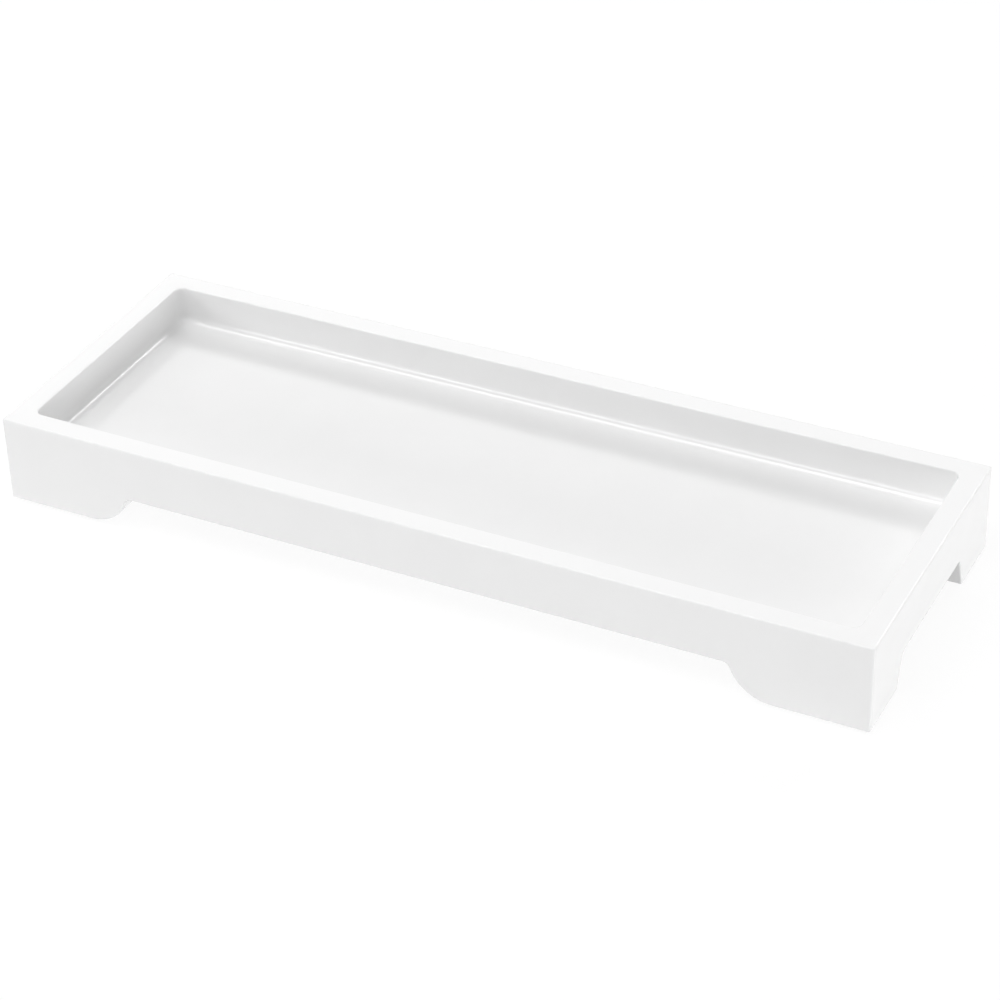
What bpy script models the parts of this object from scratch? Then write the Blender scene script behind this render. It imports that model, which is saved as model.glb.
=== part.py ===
"""A long, low vanity tray: a cast resin body that stands on four stick-on anti-slip pads.

Metres, +Z up. X runs along the length and Y from the front to the back. The origin is on the
surface that the tray stands on, under the middle of the tray.
"""

import math

import bmesh
import bpy
from mathutils import Matrix

# Outline of the body
LENGTH = 0.300
WIDTH = 0.105
EDGE_ROUNDING = 0.0006

# The well that the bottles stand in
RIM_WIDTH = 0.0076
WELL_DEPTH = 0.0131
WALL_LEAN = 0.0003
CORNER_RADIUS = 0.0033
COVE_RADIUS = 0.0029
FLOOR_THICKNESS = 0.0060

# The four feet, left standing where an arch along the length crosses an arch along the width
ARCH_HEIGHT = 0.0114
FOOT_LENGTH = 0.0308
FOOT_WIDTH = 0.0233
FOOT_END_RADIUS = 0.0148
LONG_ARCH_FILLET = 0.0024
FOOT_END_SLOPE = math.radians(73)
SHORT_ARCH_FILLET = 0.0026

# The anti-slip pads under the feet
PAD_DIAMETER = 0.0150
PAD_THICKNESS = 0.0010
PAD_ROUNDING = 0.0003
SEAT_GAP = 0.0003

# How finely curves are drawn, and how far a cutter reaches past what it cuts
ARC_STEP = math.radians(7.5)
PAD_SIDES = 48
OVERCUT = 0.005

# Heights above the surface that the tray stands on
FOOT_Z = PAD_THICKNESS + SEAT_GAP
CEILING_Z = FOOT_Z + ARCH_HEIGHT
FLOOR_Z = CEILING_Z + FLOOR_THICKNESS
RIM_Z = FLOOR_Z + WELL_DEPTH

RESIN_WHITE = (0.86, 0.86, 0.85, 1.0)
PAD_GREY = (0.62, 0.62, 0.60, 1.0)


def clear_scene():
    for obj in list(bpy.data.objects):
        bpy.data.objects.remove(obj, do_unlink=True)


def new_collection(name):
    collection = bpy.data.collections.new(name)
    bpy.context.scene.collection.children.link(collection)
    return collection


def new_material(name, colour, roughness):
    material = bpy.data.materials.new(name)
    material.use_nodes = True
    material.diffuse_color = colour
    shader = material.node_tree.nodes["Principled BSDF"]
    shader.inputs["Base Color"].default_value = colour
    shader.inputs["Roughness"].default_value = roughness
    shader.inputs["Metallic"].default_value = 0.0
    return material


def new_object(name, mesh, collection):
    obj = bpy.data.objects.new(name, mesh)
    collection.objects.link(obj)
    return obj


def new_cutter(name, mesh, collection):
    cutter = new_object(name, mesh, collection)
    cutter.hide_render = True
    cutter.display_type = "WIRE"
    return cutter


def mesh_from(bm, name):
    mesh = bpy.data.meshes.new(name)
    bm.to_mesh(mesh)
    bm.free()
    mesh.shade_smooth()
    mesh.set_sharp_from_angle(angle=math.radians(40))
    return mesh


def box(size_x, size_y, z_low, z_high):
    """A box round the Z axis, still open to editing."""
    bm = bmesh.new()
    bmesh.ops.create_cube(bm, size=1.0)
    bmesh.ops.scale(bm, verts=bm.verts, vec=(size_x, size_y, z_high - z_low))
    bmesh.ops.translate(bm, verts=bm.verts, vec=(0.0, 0.0, (z_low + z_high) / 2))
    return bm


def round_edges(bm, edges, radius):
    quarter_turn = math.pi / 2
    bmesh.ops.bevel(
        bm,
        geom=edges,
        offset=radius,
        segments=round(quarter_turn / ARC_STEP),
        profile=0.5,
        affect="EDGES",
    )


def arc(centre, radius, start, end):
    """Points on a circle from one angle to another, both ends included."""
    steps = max(2, math.ceil(abs(end - start) / ARC_STEP))
    angles = [start + (end - start) * i / steps for i in range(steps + 1)]
    return [(centre[0] + radius * math.cos(a), centre[1] + radius * math.sin(a)) for a in angles]


def rounded_foot_end():
    """A foot's end in the long arch: a bulging round that runs up into the ceiling's fillet.

    Points are (distance from the end of the foot's flat, height above that flat).
    """
    bulge = FOOT_END_RADIUS
    fillet = LONG_ARCH_FILLET
    climb = ARCH_HEIGHT - fillet - bulge
    reach = math.sqrt((bulge + fillet) ** 2 - climb**2)
    meeting = math.atan2(climb, reach)
    foot_curve = arc((0.0, bulge), bulge, -math.pi / 2, meeting)
    ceiling_curve = arc((reach, ARCH_HEIGHT - fillet), fillet, math.pi + meeting, math.pi / 2)
    return foot_curve + ceiling_curve[1:]


def steep_foot_end():
    """A foot's end in the short arch: flat and steep, with a fillet up into the ceiling."""
    slope = FOOT_END_SLOPE
    fillet = SHORT_ARCH_FILLET
    reach = ARCH_HEIGHT / math.tan(slope) + fillet * math.tan(slope / 2)
    ceiling_curve = arc((reach, ARCH_HEIGHT - fillet), fillet, slope + math.pi / 2, math.pi / 2)
    return [(0.0, 0.0)] + ceiling_curve


def arch_outline(span, foot_end):
    """The arch seen square on, as (sideways, height), between two feet whose flats are span apart."""
    left = [(along - span / 2, FOOT_Z + up) for along, up in foot_end]
    right = [(-sideways, height) for sideways, height in reversed(left)]
    outer = left[0][0]
    below = FOOT_Z - OVERCUT
    return [(outer, below)] + left + right + [(-outer, below)]


def arch_cutter(name, outline, through, turn, collection):
    """A filled outline, drawn out on both sides, stood upright along X and turned about Z."""
    curve = bpy.data.curves.new(name, "CURVE")
    curve.dimensions = "2D"
    curve.fill_mode = "BOTH"
    curve.extrude = through / 2 + OVERCUT
    spline = curve.splines.new("POLY")
    spline.points.add(len(outline) - 1)
    for point, (sideways, height) in zip(spline.points, outline):
        point.co = (sideways, height, 0.0, 1.0)
    spline.use_cyclic_u = True
    drawn = new_object(name, curve, collection)
    drawn.matrix_world = Matrix.Rotation(turn, 4, "Z") @ Matrix.Rotation(math.pi / 2, 4, "X")
    bpy.context.view_layer.update()
    graph = bpy.context.evaluated_depsgraph_get()
    bm = bmesh.new()
    bm.from_mesh(bpy.data.meshes.new_from_object(drawn.evaluated_get(graph)))
    bmesh.ops.remove_doubles(bm, verts=bm.verts, dist=1e-6)
    bmesh.ops.recalc_face_normals(bm, faces=bm.faces)
    placed = drawn.matrix_world.copy()
    bpy.data.objects.remove(drawn)
    cutter = new_cutter(name, mesh_from(bm, name), collection)
    cutter.matrix_world = placed
    return cutter


def well_cutter(collection):
    """A box with leaning walls, rounded upright corners and a cove round its floor."""
    bm = box(LENGTH - 2 * RIM_WIDTH, WIDTH - 2 * RIM_WIDTH, FLOOR_Z, RIM_Z + OVERCUT)
    for vert in bm.verts:
        lean = WALL_LEAN * (RIM_Z - vert.co.z) / WELL_DEPTH
        vert.co.x -= math.copysign(1.0, vert.co.x) * lean
        vert.co.y -= math.copysign(1.0, vert.co.y) * lean
    upright = [edge for edge in bm.edges if abs(edge.verts[0].co.z - edge.verts[1].co.z) > WELL_DEPTH]
    round_edges(bm, upright, CORNER_RADIUS)
    floor = min(bm.faces, key=lambda face: face.calc_center_median().z)
    round_edges(bm, list(floor.edges), COVE_RADIUS)
    return new_cutter("well_cutter", mesh_from(bm, "well_cutter"), collection)


def tray_body(parts, cutters, resin):
    """The cast block: the well sunk into its top, and two crossing arches cut under it."""
    body = new_object("tray_body", mesh_from(box(LENGTH, WIDTH, FOOT_Z, RIM_Z), "tray_body"), parts)
    body.data.materials.append(resin)
    long_span = LENGTH - 2 * FOOT_LENGTH
    short_span = WIDTH - 2 * FOOT_WIDTH
    long_arch = arch_outline(long_span, rounded_foot_end())
    short_arch = arch_outline(short_span, steep_foot_end())
    tools = [
        well_cutter(cutters),
        arch_cutter("long_arch_cutter", long_arch, WIDTH, 0.0, cutters),
        arch_cutter("short_arch_cutter", short_arch, LENGTH, math.pi / 2, cutters),
    ]
    for tool in tools:
        cut = body.modifiers.new(tool.name, "BOOLEAN")
        cut.operation = "DIFFERENCE"
        cut.object = tool
    edges = body.modifiers.new("edge_rounding", "BEVEL")
    edges.width = EDGE_ROUNDING
    edges.segments = 2
    edges.limit_method = "ANGLE"
    edges.angle_limit = math.radians(40)
    edges.use_clamp_overlap = False
    edges.harden_normals = True
    return body


def foot_pads(parts, rubber):
    """A thin disc in the middle of the flat under each foot."""
    bm = bmesh.new()
    radius = PAD_DIAMETER / 2
    bmesh.ops.create_cone(
        bm,
        cap_ends=True,
        segments=PAD_SIDES,
        radius1=radius,
        radius2=radius,
        depth=PAD_THICKNESS,
    )
    rims = [edge for edge in bm.edges if abs(edge.verts[0].co.z - edge.verts[1].co.z) < PAD_THICKNESS / 2]
    bmesh.ops.bevel(bm, geom=rims, offset=PAD_ROUNDING, segments=2, profile=0.5, affect="EDGES")
    mesh = mesh_from(bm, "foot_pad")
    mesh.materials.append(rubber)
    out = (LENGTH - FOOT_LENGTH) / 2
    back = (WIDTH - FOOT_WIDTH) / 2
    for depth_name, y in (("front", -back), ("back", back)):
        for side_name, x in (("left", -out), ("right", out)):
            pad = new_object(f"foot_pad_{depth_name}_{side_name}", mesh, parts)
            pad.location = (x, y, PAD_THICKNESS / 2)


def main():
    clear_scene()
    parts = new_collection("vanity_tray")
    cutters = new_collection("cutters")
    resin = new_material("white_cast_resin", RESIN_WHITE, 0.35)
    rubber = new_material("anti_slip_rubber", PAD_GREY, 0.75)
    tray_body(parts, cutters, resin)
    foot_pads(parts, rubber)


main()
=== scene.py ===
"""The looks of a long, low vanity tray in white cast resin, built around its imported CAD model.

Metres, +Z up. X runs along the length, Y from the front to the back, and Z is 0 on the surface
that the tray stands on.
"""

import math

import bmesh
import bpy
from mathutils import Matrix, Vector


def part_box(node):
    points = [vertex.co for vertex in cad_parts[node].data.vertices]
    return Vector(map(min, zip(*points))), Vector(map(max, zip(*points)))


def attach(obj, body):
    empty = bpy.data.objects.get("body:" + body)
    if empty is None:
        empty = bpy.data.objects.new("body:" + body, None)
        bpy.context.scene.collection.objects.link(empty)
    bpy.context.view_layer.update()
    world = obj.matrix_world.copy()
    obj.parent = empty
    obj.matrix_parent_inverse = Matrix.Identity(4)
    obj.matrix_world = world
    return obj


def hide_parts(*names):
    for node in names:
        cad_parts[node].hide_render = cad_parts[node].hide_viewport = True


# The tray body's real sizes
LENGTH = 0.300
WIDTH = 0.105
FOOT_Z = 0.0013
CEILING_Z = 0.0127
FLOOR_Z = 0.0187
RIM_Z = 0.0318
RIM_WIDTH = 0.0076
WALL_LEAN = 0.0003
CORNER_RADIUS = 0.0033
COVE_RADIUS = 0.0029
EDGE_ROUNDING = 0.0006

# The feet and the two arches that leave them standing
ARCH_HEIGHT = CEILING_Z - FOOT_Z
FOOT_LENGTH = 0.0308
FOOT_WIDTH = 0.0233
FOOT_END_RADIUS = 0.0148
LONG_ARCH_FILLET = 0.0024
SHORT_ARCH_FILLET = 0.0026
FOOT_END_SLOPE = math.radians(73)

# The film that sticks each pad to its foot, and the pads' edges
FILM_INSET = 0.0004
FILM_ROUNDING = 0.0001
PAD_ROUNDING = 0.0003

# How finely the curves are drawn, and how far a cutter reaches past the block
QUARTER_STEPS = 16
ROUNDING_STEPS = 4
DISC_SIDES = 96
PAST = 0.005

# The angle from which an edge counts as sharp, and how near two points are when they are one
SHARP = math.radians(40)
SAME_PLACE = 1e-5

# Where most of a noise texture's values lie
NOISE_ENDS = (0.3, 0.7)

# The resin: two near whites, the rim's painted light, its gloss, and the sizes and depths of its
# unevenness
RESIN_WHITE = (0.868, 0.868, 0.868)
RESIN_SHADE = (0.854, 0.854, 0.854)
# Painted light: the rim top's whiter colour, and the height over which the resin turns to it, stand
# in for the extra light the open rim gets
RIM_PAINTED_LIGHT = (0.95, 0.95, 0.95)
RIM_PAINTED_LIGHT_BAND = 0.0003
CLOUD_SIZE = 0.022
SMEAR_SIZE = 0.009
SATIN_SMOOTHEST = 0.13
SATIN_ROUGHEST = 0.17
SWELL_SIZE = 0.030
SWELL_DEPTH = 0.00006
PEEL_SIZE = 0.0011
PEEL_DEPTH = 0.000005

# The pads' rubber and their film
PAD_GREY = (0.62, 0.62, 0.60)
PAD_SHADE = (0.54, 0.54, 0.52)
RUBBER_SMOOTHEST = 0.55
RUBBER_ROUGHEST = 0.75
PEBBLE_SIZE = 0.0005
PEBBLE_DEPTH = 0.00005
FILM_MILK = (0.80, 0.80, 0.78)
FILM_CLEAR = (0.70, 0.70, 0.67)
FILM_SMOOTHEST = 0.35
FILM_ROUGHEST = 0.50
FILM_STREAK = 0.0015

# The white table top: its size, what it throws back up at the tray, and how it looks to the eye
FLOOR_SIZE = 2.4
FLOOR_WHITE = 0.80
FLOOR_BOUNCE = 0.26
FLOOR_SEEN_WHITE = 0.12
FLOOR_SEEN_GLOW = 0.90

# The studio's softboxes: how far away, then each one's azimuth, elevation, width, height, watts
LAMP_DISTANCE = 3.0
SOFTBOXES = {
    "overhead_front": (0, 65, 2.05, 2.05, 28.0),
    "back_sheen": (207, 34, 3.00, 2.05, 21.2),
    "right_high": (90, 45, 2.05, 2.05, 7.5),
    "left_high": (270, 40, 2.05, 2.05, 19.9),
    "front_right": (42, 48, 1.40, 1.40, 8.0),
    "front_strip": (334, 12, 1.50, 0.50, 19.0),
    "front_high": (318, 57, 1.50, 0.55, 13.2),
    "left_top": (298, 65, 0.95, 0.95, 5.0),
    "back_right_high": (160, 38, 0.70, 0.54, 12.8),
    "right_low": (90, 2, 2.05, 0.20, 38.0),
}

# The camera that took the photograph
CAMERA_PLACE = (0.36582, -0.70648, 0.54524)
CAMERA_AZIMUTH = math.radians(27.13)
CAMERA_ELEVATION = math.radians(33.96)
CAMERA_ROLL = math.radians(-1.546)
CAMERA_LENS = 107.03


def work_on(obj):
    """Leaves this object alone selected and active."""
    bpy.ops.object.select_all(action="DESELECT")
    obj.select_set(True)
    bpy.context.view_layer.objects.active = obj


def pick(obj, kind, test):
    """Selects, in edit mode, the faces or edges that pass the test, and nothing else."""
    bpy.ops.mesh.select_mode(type={"faces": "FACE", "edges": "EDGE"}[kind])
    bpy.ops.mesh.select_all(action="DESELECT")
    bm = bmesh.from_edit_mesh(obj.data)
    for item in getattr(bm, kind):
        item.select_set(test(item))
    bm.select_flush_mode()
    bmesh.update_edit_mesh(obj.data)


def added(name, material):
    """The primitive just added, named, with its material and with its place in its mesh."""
    obj = bpy.context.object
    obj.name = obj.data.name = name
    obj.data.materials.append(material)
    bpy.ops.object.transform_apply(location=True, rotation=True, scale=True)
    return obj


def cut_away(body, cutter):
    """Takes the cutter's volume out of the body, then throws the cutter away."""
    work_on(body)
    bpy.ops.object.modifier_add(type="BOOLEAN")
    cut = body.modifiers[-1]
    cut.operation = "DIFFERENCE"
    cut.object = cutter
    bpy.ops.object.modifier_apply(modifier=cut.name)
    bpy.data.objects.remove(cutter)


def start_of_outline(name, place):
    """A plane shrunk to one point, from which an arch's outline is drawn out in edit mode."""
    bpy.ops.object.select_all(action="DESELECT")
    bpy.ops.mesh.primitive_plane_add(size=0.01, location=place)
    outline = bpy.context.object
    outline.name = name
    bpy.ops.object.transform_apply(location=True, rotation=True, scale=True)
    bpy.ops.object.mode_set(mode="EDIT")
    bpy.ops.mesh.select_mode(type="VERT")
    bpy.ops.mesh.select_all(action="SELECT")
    bpy.ops.mesh.merge(type="CENTER")
    return outline


def draw_on(step):
    """Draws the outline's free end on by one straight edge."""
    bpy.ops.mesh.extrude_region_move(TRANSFORM_OT_translate={"value": step})


def close_and_thicken(outline, across, reach):
    """Mirrors half an outline about the tray's middle, fills it, and draws it out into a cutter."""
    bpy.ops.object.mode_set(mode="OBJECT")
    work_on(outline)
    bpy.ops.object.modifier_add(type="MIRROR")
    mirror = outline.modifiers[-1]
    mirror.use_axis = (across == "X", across == "Y", False)
    mirror.merge_threshold = SAME_PLACE
    bpy.ops.object.modifier_apply(modifier=mirror.name)
    bpy.ops.object.mode_set(mode="EDIT")
    bpy.ops.mesh.select_all(action="SELECT")
    bpy.ops.mesh.edge_face_add()
    along = (0, 2 * reach, 0) if across == "X" else (2 * reach, 0, 0)
    bpy.ops.mesh.extrude_region_move(TRANSFORM_OT_translate={"value": along})
    bpy.ops.mesh.select_all(action="SELECT")
    bpy.ops.mesh.normals_make_consistent(inside=False)
    bpy.ops.object.mode_set(mode="OBJECT")
    return outline


def long_arch():
    """The arch along the front and the back: bulging foot ends and a small ceiling fillet."""
    reach = WIDTH / 2 + PAST
    flat_end = -LENGTH / 2 + FOOT_LENGTH
    bulge = FOOT_END_RADIUS
    fillet = LONG_ARCH_FILLET
    climb = ARCH_HEIGHT - fillet - bulge
    across = math.sqrt((bulge + fillet) ** 2 - climb**2)
    turn = math.pi / 2 + math.atan2(climb, across)
    outline = start_of_outline("long_arch", (flat_end, -reach, FOOT_Z - PAST))
    draw_on((0, 0, PAST))
    bpy.ops.mesh.spin(
        steps=QUARTER_STEPS, angle=turn, center=(flat_end, -reach, FOOT_Z + bulge), axis=(0, 1, 0)
    )
    bpy.ops.mesh.spin(
        steps=QUARTER_STEPS // 2,
        angle=-turn,
        center=(flat_end + across, -reach, CEILING_Z - fillet),
        axis=(0, 1, 0),
    )
    draw_on((-flat_end - across, 0, 0))
    return close_and_thicken(outline, "X", reach)


def short_arch():
    """The arch across each end: flat steep foot ends and a fillet up into the ceiling."""
    reach = LENGTH / 2 + PAST
    flat_end = -WIDTH / 2 + FOOT_WIDTH
    fillet = SHORT_ARCH_FILLET
    slope = FOOT_END_SLOPE
    run = ARCH_HEIGHT / math.tan(slope)
    tangent = fillet * math.tan(slope / 2)
    rise = tangent * math.sin(slope)
    outline = start_of_outline("short_arch", (-reach, flat_end, FOOT_Z - PAST))
    draw_on((0, 0, PAST))
    draw_on((0, run - tangent * math.cos(slope), ARCH_HEIGHT - rise))
    bpy.ops.mesh.spin(
        steps=QUARTER_STEPS // 2,
        angle=slope,
        center=(-reach, flat_end + run + tangent, CEILING_Z - fillet),
        axis=(1, 0, 0),
    )
    draw_on((0, -flat_end - run - tangent, 0))
    return close_and_thicken(outline, "Y", reach)


def on_floor(edge):
    return all(abs(v.co.z - FLOOR_Z) < SAME_PLACE for v in edge.verts)


def upright_in_well(edge):
    low, high = sorted(edge.verts, key=lambda v: v.co.z)
    inside = abs(low.co.x) < LENGTH / 2 - 0.001 and abs(low.co.y) < WIDTH / 2 - 0.001
    return inside and low.co.z < FLOOR_Z + SAME_PLACE and high.co.z > RIM_Z - SAME_PLACE


def tray_body(resin):
    """One cast block: inset and sunk for the well, coved round its floor, arched underneath."""
    bpy.ops.object.select_all(action="DESELECT")
    bpy.ops.mesh.primitive_cube_add(
        size=1.0, location=(0, 0, (FOOT_Z + RIM_Z) / 2), scale=(LENGTH, WIDTH, RIM_Z - FOOT_Z)
    )
    body = added("cast_resin_body", resin)
    bpy.ops.object.mode_set(mode="EDIT")
    pick(body, "faces", lambda face: face.normal.z > 0.9)
    bpy.ops.mesh.inset(thickness=RIM_WIDTH)
    bpy.ops.mesh.extrude_region_move(TRANSFORM_OT_translate={"value": (0, 0, FLOOR_Z - RIM_Z)})
    well_length = LENGTH - 2 * RIM_WIDTH
    well_width = WIDTH - 2 * RIM_WIDTH
    lean = (1 - 2 * WALL_LEAN / well_length, 1 - 2 * WALL_LEAN / well_width, 1)
    bpy.ops.transform.resize(value=lean)
    pick(body, "edges", upright_in_well)
    bpy.ops.mesh.bevel(offset=CORNER_RADIUS, segments=QUARTER_STEPS, affect="EDGES")
    pick(body, "edges", on_floor)
    bpy.ops.mesh.bevel(offset=COVE_RADIUS, segments=QUARTER_STEPS // 2, affect="EDGES")
    bpy.ops.object.mode_set(mode="OBJECT")
    cut_away(body, long_arch())
    cut_away(body, short_arch())
    work_on(body)
    bpy.ops.object.modifier_add(type="BEVEL")
    edges = body.modifiers[-1]
    edges.width = EDGE_ROUNDING
    edges.segments = ROUNDING_STEPS
    edges.limit_method = "ANGLE"
    edges.angle_limit = SHARP
    edges.use_clamp_overlap = False
    edges.harden_normals = True
    bpy.ops.object.shade_smooth_by_angle(angle=SHARP)
    bpy.ops.object.modifier_apply(modifier=edges.name)
    return body


def new_material(name):
    """A node material, with its nodes, its links and the shader that they end in."""
    material = bpy.data.materials.new(name)
    material.use_nodes = True
    nodes = material.node_tree.nodes
    return material, nodes, material.node_tree.links, nodes["Principled BSDF"]


def grain(nodes, links, size, detail):
    """Soft noise on Object coordinates whose patches are about this size, in metres."""
    place = nodes.new("ShaderNodeTexCoord")
    noise = nodes.new("ShaderNodeTexNoise")
    noise.inputs["Scale"].default_value = 1 / size
    noise.inputs["Detail"].default_value = detail
    links.new(place.outputs["Object"], noise.inputs["Vector"])
    return noise.outputs["Fac"]


def ranged(nodes, links, value, low, high, ends=NOISE_ENDS):
    """A value between these ends, a noise's own by default, spread between low and high."""
    spread = nodes.new("ShaderNodeMapRange")
    spread.inputs["From Min"].default_value = ends[0]
    spread.inputs["From Max"].default_value = ends[1]
    spread.inputs["To Min"].default_value = low
    spread.inputs["To Max"].default_value = high
    links.new(value, spread.inputs["Value"])
    return spread.outputs["Result"]


def tinted(nodes, links, factor, first, second):
    """A colour that drifts from the first, fixed or itself drifting, to the second."""
    mix = nodes.new("ShaderNodeMix")
    mix.data_type = "RGBA"
    share, start, end = mix.inputs[0], mix.inputs[6], mix.inputs[7]
    links.new(factor, share)
    if isinstance(first, tuple):
        start.default_value = (*first, 1)
    else:
        links.new(first, start)
    end.default_value = (*second, 1)
    return mix.outputs[2]


def relief(nodes, links, height, depth, under=None):
    """A bump of this depth in metres, laid over another one if there is one."""
    bump = nodes.new("ShaderNodeBump")
    bump.inputs["Distance"].default_value = depth
    links.new(height, bump.inputs["Height"])
    if under:
        links.new(under, bump.inputs["Normal"])
    return bump.outputs["Normal"]


def cast_resin():
    """White cast resin: a satin with its mould's faint swell, and painted light on the rim, whose
    top is coloured whiter.
    """
    material, nodes, links, shader = new_material("white_cast_resin")
    cloud = ranged(nodes, links, grain(nodes, links, CLOUD_SIZE, 4), 0, 1)
    moulded = tinted(nodes, links, cloud, RESIN_WHITE, RESIN_SHADE)
    place = nodes.new("ShaderNodeTexCoord")
    height = nodes.new("ShaderNodeSeparateXYZ")
    links.new(place.outputs["Object"], height.inputs["Vector"])
    # Painted light: the colour turns whiter over the last band of height at the rim's top
    painted_rim_light = ranged(nodes, links, height.outputs["Z"], 0, 1, ends=(RIM_Z - RIM_PAINTED_LIGHT_BAND, RIM_Z))
    links.new(tinted(nodes, links, painted_rim_light, moulded, RIM_PAINTED_LIGHT), shader.inputs["Base Color"])
    handled = grain(nodes, links, SMEAR_SIZE, 5)
    satin = ranged(nodes, links, handled, SATIN_SMOOTHEST, SATIN_ROUGHEST)
    links.new(satin, shader.inputs["Roughness"])
    swell = relief(nodes, links, grain(nodes, links, SWELL_SIZE, 1), SWELL_DEPTH)
    peel = relief(nodes, links, grain(nodes, links, PEEL_SIZE, 2), PEEL_DEPTH, under=swell)
    links.new(peel, shader.inputs["Normal"])
    return material


def pad_rubber():
    """Grey anti-slip rubber: matt and pebbled."""
    material, nodes, links, shader = new_material("anti_slip_rubber")
    cloud = ranged(nodes, links, grain(nodes, links, PEBBLE_SIZE * 4, 4), 0, 1)
    links.new(tinted(nodes, links, cloud, PAD_GREY, PAD_SHADE), shader.inputs["Base Color"])
    worn = grain(nodes, links, PEBBLE_SIZE, 3)
    matt = ranged(nodes, links, worn, RUBBER_SMOOTHEST, RUBBER_ROUGHEST)
    links.new(matt, shader.inputs["Roughness"])
    pebbles = nodes.new("ShaderNodeTexVoronoi")
    pebbles.inputs["Scale"].default_value = 1 / PEBBLE_SIZE
    place = nodes.new("ShaderNodeTexCoord")
    links.new(place.outputs["Object"], pebbles.inputs["Vector"])
    pebbled = relief(nodes, links, pebbles.outputs["Distance"], PEBBLE_DEPTH)
    pebbled.node.invert = True
    links.new(pebbled, shader.inputs["Normal"])
    return material


def adhesive_film():
    """The milky double-sided film that sticks a pad to its foot."""
    material, nodes, links, shader = new_material("adhesive_film")
    streaks = ranged(nodes, links, grain(nodes, links, FILM_STREAK, 3), 0, 1)
    links.new(tinted(nodes, links, streaks, FILM_MILK, FILM_CLEAR), shader.inputs["Base Color"])
    drawn = grain(nodes, links, FILM_STREAK, 2)
    dull = ranged(nodes, links, drawn, FILM_SMOOTHEST, FILM_ROUGHEST)
    links.new(dull, shader.inputs["Roughness"])
    return material


def disc(name, centre, across, low, high, rounding, material):
    """A thin disc between two heights, with both rims rounded."""
    bpy.ops.object.select_all(action="DESELECT")
    bpy.ops.mesh.primitive_cylinder_add(
        vertices=DISC_SIDES,
        radius=across / 2,
        depth=high - low,
        location=(*centre, (low + high) / 2),
    )
    piece = added(name, material)
    bpy.ops.object.mode_set(mode="EDIT")
    pick(piece, "edges", lambda edge: abs(edge.verts[0].co.z - edge.verts[1].co.z) < 1e-6)
    bpy.ops.mesh.bevel(offset=rounding, segments=ROUNDING_STEPS, affect="EDGES")
    pick(piece, "faces", lambda face: abs(face.normal.z) > 0.99 and len(face.verts) > 4)
    bpy.ops.mesh.inset(thickness=across / 12)
    bpy.ops.object.mode_set(mode="OBJECT")
    bpy.ops.object.shade_smooth_by_angle(angle=SHARP)
    return piece


def foot_pads(rubber, film):
    """Under each foot, a rubber pad and the film that sticks it on."""
    for node in ("front_left", "front_right", "back_left", "back_right"):
        low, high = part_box(f"foot_pad_{node}")
        centre = ((low[0] + high[0]) / 2, (low[1] + high[1]) / 2)
        across = high[0] - low[0]
        pad = disc(f"rubber_pad_{node}", centre, across, low[2], high[2], PAD_ROUNDING, rubber)
        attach(pad, "root")
        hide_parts(f"foot_pad_{node}")
        film_across = across - 2 * FILM_INSET
        film_piece = disc(
            f"adhesive_film_{node}", centre, film_across, high[2], FOOT_Z, FILM_ROUNDING, film
        )
        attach(film_piece, "root")


def seen_directly(nodes, links):
    """1 for what the camera sees straight, mirrored or through glass, and 0 for all other light."""
    path = nodes.new("ShaderNodeLightPath")
    total = path.outputs["Is Camera Ray"]
    for kind in ("Is Glossy Ray", "Is Transmission Ray"):
        either = nodes.new("ShaderNodeMath")
        either.operation = "MAXIMUM"
        links.new(total, either.inputs[0])
        links.new(path.outputs[kind], either.inputs[1])
        total = either.outputs["Value"]
    return total


def backdrop():
    """White all round to the eye and in mirror images, but no light on the tray."""
    world = bpy.data.worlds.new("white_backdrop")
    bpy.context.scene.world = world
    world.use_nodes = True
    nodes, links = world.node_tree.nodes, world.node_tree.links
    white = nodes["Background"]
    white.inputs["Color"].default_value = (1, 1, 1, 1)
    links.new(seen_directly(nodes, links), white.inputs["Strength"])


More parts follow.
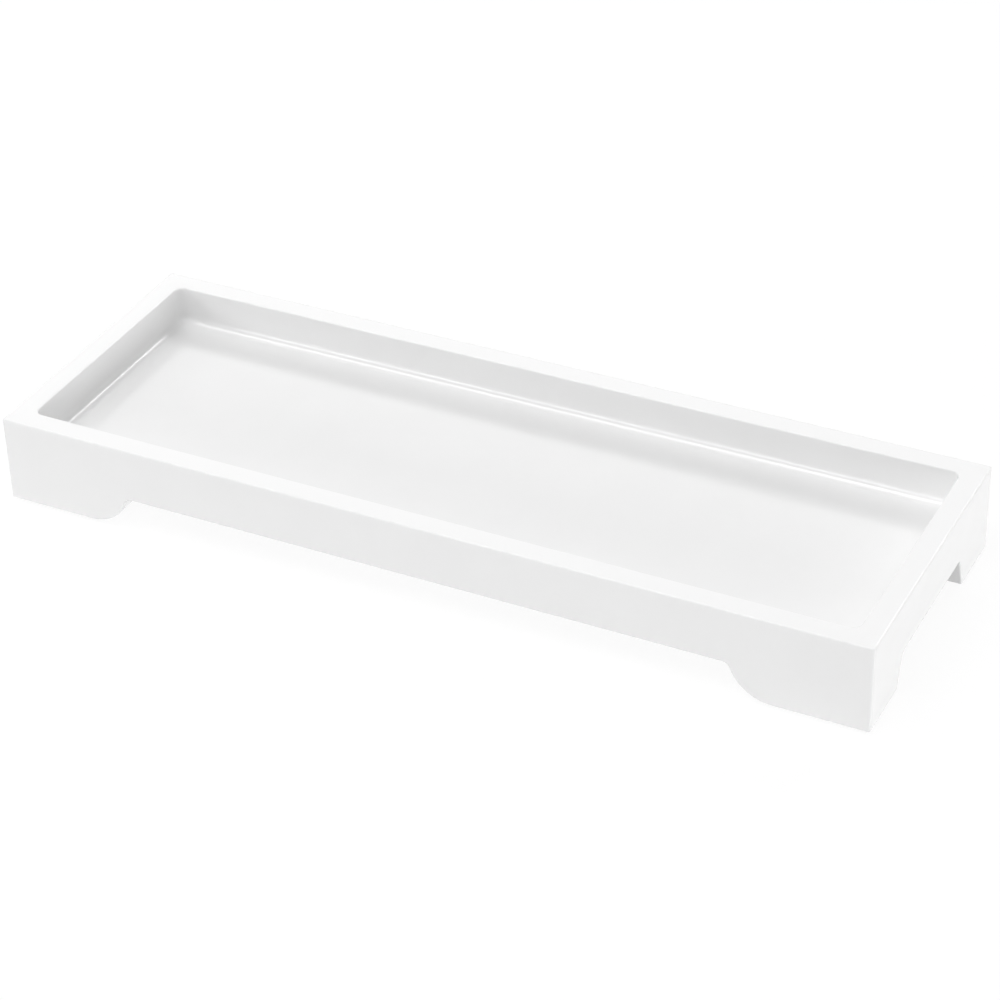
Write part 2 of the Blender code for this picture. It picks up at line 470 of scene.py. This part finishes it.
def studio_floor():
    """A white table top that keeps the tray's soft shadow, and is clear from underneath."""
    bpy.ops.object.select_all(action="DESELECT")
    bpy.ops.mesh.primitive_plane_add(size=FLOOR_SIZE)
    floor = bpy.context.object
    floor.name = "studio_floor"
    material, nodes, links, shader = new_material("white_table_top")
    nodes.remove(shader)
    seen = seen_directly(nodes, links)
    white = ranged(nodes, links, seen, FLOOR_WHITE, FLOOR_SEEN_WHITE, ends=(0, 1))
    shine = ranged(nodes, links, seen, FLOOR_BOUNCE, FLOOR_SEEN_GLOW, ends=(0, 1))
    paper = nodes.new("ShaderNodeBsdfDiffuse")
    links.new(white, paper.inputs["Color"])
    glow = nodes.new("ShaderNodeEmission")
    links.new(shine, glow.inputs["Strength"])
    both = nodes.new("ShaderNodeAddShader")
    links.new(paper.outputs["BSDF"], both.inputs[0])
    links.new(glow.outputs["Emission"], both.inputs[1])
    side = nodes.new("ShaderNodeNewGeometry")
    clear = nodes.new("ShaderNodeBsdfTransparent")
    one_sided = nodes.new("ShaderNodeMixShader")
    links.new(side.outputs["Backfacing"], one_sided.inputs["Fac"])
    links.new(both.outputs["Shader"], one_sided.inputs[1])
    links.new(clear.outputs["BSDF"], one_sided.inputs[2])
    links.new(one_sided.outputs["Shader"], nodes["Material Output"].inputs["Surface"])
    floor.data.materials.append(material)


def softbox(name, azimuth, elevation, width, height, power):
    """A rectangular lamp aimed at the tray: azimuth 0 is in front and 90 is on the right."""
    around, up = math.radians(azimuth), math.radians(elevation)
    away = Vector(
        (math.sin(around) * math.cos(up), -math.cos(around) * math.cos(up), math.sin(up))
    )
    data = bpy.data.lights.new(name, "AREA")
    data.shape = "RECTANGLE"
    data.size = width
    data.size_y = height
    data.energy = power
    lamp = bpy.data.objects.new(name, data)
    bpy.context.scene.collection.objects.link(lamp)
    lamp.visible_camera = False
    facing = (-away).to_track_quat("-Z", "Y").to_matrix().to_4x4()
    lamp.matrix_world = Matrix.Translation(away * LAMP_DISTANCE) @ facing


def photograph_camera():
    data = bpy.data.cameras.new("camera")
    data.lens = CAMERA_LENS
    data.sensor_width = 36
    camera = bpy.data.objects.new("camera", data)
    bpy.context.scene.collection.objects.link(camera)
    camera.matrix_world = (
        Matrix.Translation(CAMERA_PLACE)
        @ Matrix.Rotation(CAMERA_AZIMUTH, 4, "Z")
        @ Matrix.Rotation(math.pi / 2 - CAMERA_ELEVATION, 4, "X")
        @ Matrix.Rotation(CAMERA_ROLL, 4, "Z")
    )
    bpy.context.scene.camera = camera


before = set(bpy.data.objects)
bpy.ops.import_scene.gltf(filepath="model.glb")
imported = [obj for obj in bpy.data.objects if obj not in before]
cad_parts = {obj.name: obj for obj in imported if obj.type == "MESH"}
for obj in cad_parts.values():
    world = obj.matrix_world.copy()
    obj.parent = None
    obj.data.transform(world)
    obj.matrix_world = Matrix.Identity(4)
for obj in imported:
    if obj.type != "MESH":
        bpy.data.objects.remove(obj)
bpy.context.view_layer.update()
body = tray_body(cast_resin())
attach(body, "root")
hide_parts("tray_body")
foot_pads(pad_rubber(), adhesive_film())
backdrop()
studio_floor()
for name, setting in SOFTBOXES.items():
    softbox(name, *setting)
photograph_camera()
bpy.context.scene.view_settings.view_transform = "Standard"
